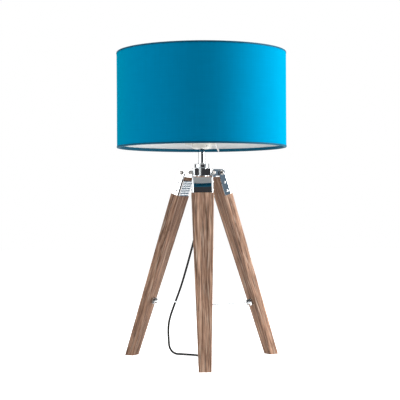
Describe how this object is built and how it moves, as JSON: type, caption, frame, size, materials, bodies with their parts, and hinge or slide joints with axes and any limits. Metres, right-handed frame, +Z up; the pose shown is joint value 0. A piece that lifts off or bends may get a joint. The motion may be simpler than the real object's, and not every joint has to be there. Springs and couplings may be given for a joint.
{
  "type": "tripod table lamp",
  "caption": "Table lamp with a drum fabric shade on a short chrome stem over three tapered timber legs that fold in together on a slotted spreader.",
  "frame": {"origin": "on the floor, under the lamp's vertical axis", "axes": "+Z up along the stem; the front leg points along -Y; +X to the right"},
  "size_m": [0.35, 0.3579, 0.635],
  "materials": {
    "teal_fabric": "satin, fine plain weave laminated to the lining",
    "teal_trim": "same satin, rolled over the wire",
    "pale_lining": "smooth pale grey-white styrene sheet",
    "white_metal": "white powder coat",
    "chrome": "polished plate",
    "dark_steel": "blackened socket screw",
    "zinc_steel": "zinc plated",
    "weathered_timber": "grey-brown, open grain, waxed",
    "white_plastic": "cream white moulding",
    "brass": "drawn, dull",
    "black_cord": "smooth black sheath",
    "black_plastic": "moulded black",
    "pin_metal": "nickel plated pins"
  },
  "bodies": {
    "head": {"head_hub": "chrome", "hub_arm_screws": "chrome", "stem_washers": "chrome", "stem_collar": "chrome", "collar_neck": "chrome", "stem_pole": "chrome", "threaded_tube": "zinc_steel", "stem_lock_nuts": "zinc_steel", "cord_relief": "black_plastic", "lampholder_cap": "white_plastic", "lampholder_cap_screw": "dark_steel", "lampholder_body": "white_plastic", "lampholder_core": "white_plastic", "socket_sleeve": "brass", "centre_contact": "brass", "shade_nut": "white_plastic", "shade_clamp_nut": "white_plastic", "shade_ring": "white_metal", "spider_arms": "white_metal", "shade_fabric": "teal_fabric", "shade_lining": "pale_lining", "bottom_wire": "white_metal", "bottom_trim": "teal_trim", "top_wire": "white_metal", "top_trim": "teal_trim", "stem_cord": "black_cord", "cord": "black_cord", "plug_cord": "black_cord", "cord_hank": "black_cord", "plug_body": "black_plastic", "plug_pins": "pin_metal"},
    "push_switch": {"switch_bar": "white_plastic"},
    "front_leg_set": {"front_leg": "weathered_timber", "front_bracket": "chrome", "front_hinge_bolt": "chrome", "front_bracket_screws": "chrome", "front_clevis": "chrome", "front_clevis_screws": "zinc_steel", "front_bar_pin": "chrome"},
    "front_spreader": {"front_bar": "chrome"},
    "left_leg_set": {"left_leg": "weathered_timber", "left_bracket": "chrome", "left_hinge_bolt": "chrome", "left_bracket_screws": "chrome", "left_clevis": "chrome", "left_clevis_screws": "zinc_steel", "left_bar_pin": "chrome"},
    "left_spreader": {"left_bar": "chrome"},
    "right_leg_set": {"right_leg": "weathered_timber", "right_bracket": "chrome", "right_hinge_bolt": "chrome", "right_bracket_screws": "chrome", "right_clevis": "chrome", "right_clevis_screws": "zinc_steel", "right_bar_pin": "chrome"},
    "right_spreader": {"right_bar": "chrome"},
    "centre_fastener": {"centre_bolt": "chrome", "centre_washers": "zinc_steel", "centre_nut": "chrome"}
  },
  "joints": [
    {"name": "front_leg_fold", "type": "hinge", "parent": "head", "child": "front_leg_set", "pos_m": [0, -0.036, 0.387], "axis": [1, 0, 0], "range_deg": [0, 8]},
    {"name": "front_bar_pivot", "type": "hinge", "parent": "front_leg_set", "child": "front_spreader", "pos_m": [0, -0.11571, 0.115], "axis": [1, 0, 0], "range_deg": [-8, 0]},
    {"name": "left_leg_fold", "type": "hinge", "parent": "head", "child": "left_leg_set", "pos_m": [-0.03118, 0.018, 0.387], "axis": [-0.5, -0.866, 0], "range_deg": [0, 8]},
    {"name": "left_bar_pivot", "type": "hinge", "parent": "left_leg_set", "child": "left_spreader", "pos_m": [-0.0995, 0.05745, 0.1173], "axis": [-0.5, -0.866, 0], "range_deg": [-8, 0]},
    {"name": "right_leg_fold", "type": "hinge", "parent": "head", "child": "right_leg_set", "pos_m": [0.03118, 0.018, 0.387], "axis": [-0.5, 0.866, 0], "range_deg": [0, 8]},
    {"name": "right_bar_pivot", "type": "hinge", "parent": "right_leg_set", "child": "right_spreader", "pos_m": [0.10091, 0.05826, 0.1127], "axis": [-0.5, 0.866, 0], "range_deg": [-8, 0]},
    {"name": "centre_bolt_slide", "type": "slide", "parent": "front_spreader", "child": "centre_fastener", "axis": [0, -1, 0], "range_m": [0, 0.03873]},
    {"name": "switch_push", "type": "slide", "parent": "head", "child": "push_switch", "axis": [1, 0, 0], "range_m": [0, 0.006]}
  ],
  "couplings": [
    {"joint": "front_bar_pivot", "follows": "front_leg_fold", "ratio": -1},
    {"joint": "left_leg_fold", "follows": "front_leg_fold", "ratio": 1},
    {"joint": "left_bar_pivot", "follows": "front_leg_fold", "ratio": -1},
    {"joint": "right_leg_fold", "follows": "front_leg_fold", "ratio": 1},
    {"joint": "right_bar_pivot", "follows": "front_leg_fold", "ratio": -1},
    {"joint": "centre_bolt_slide", "follows": "front_leg_fold", "m_per_rad": 0.27667}
  ]
}
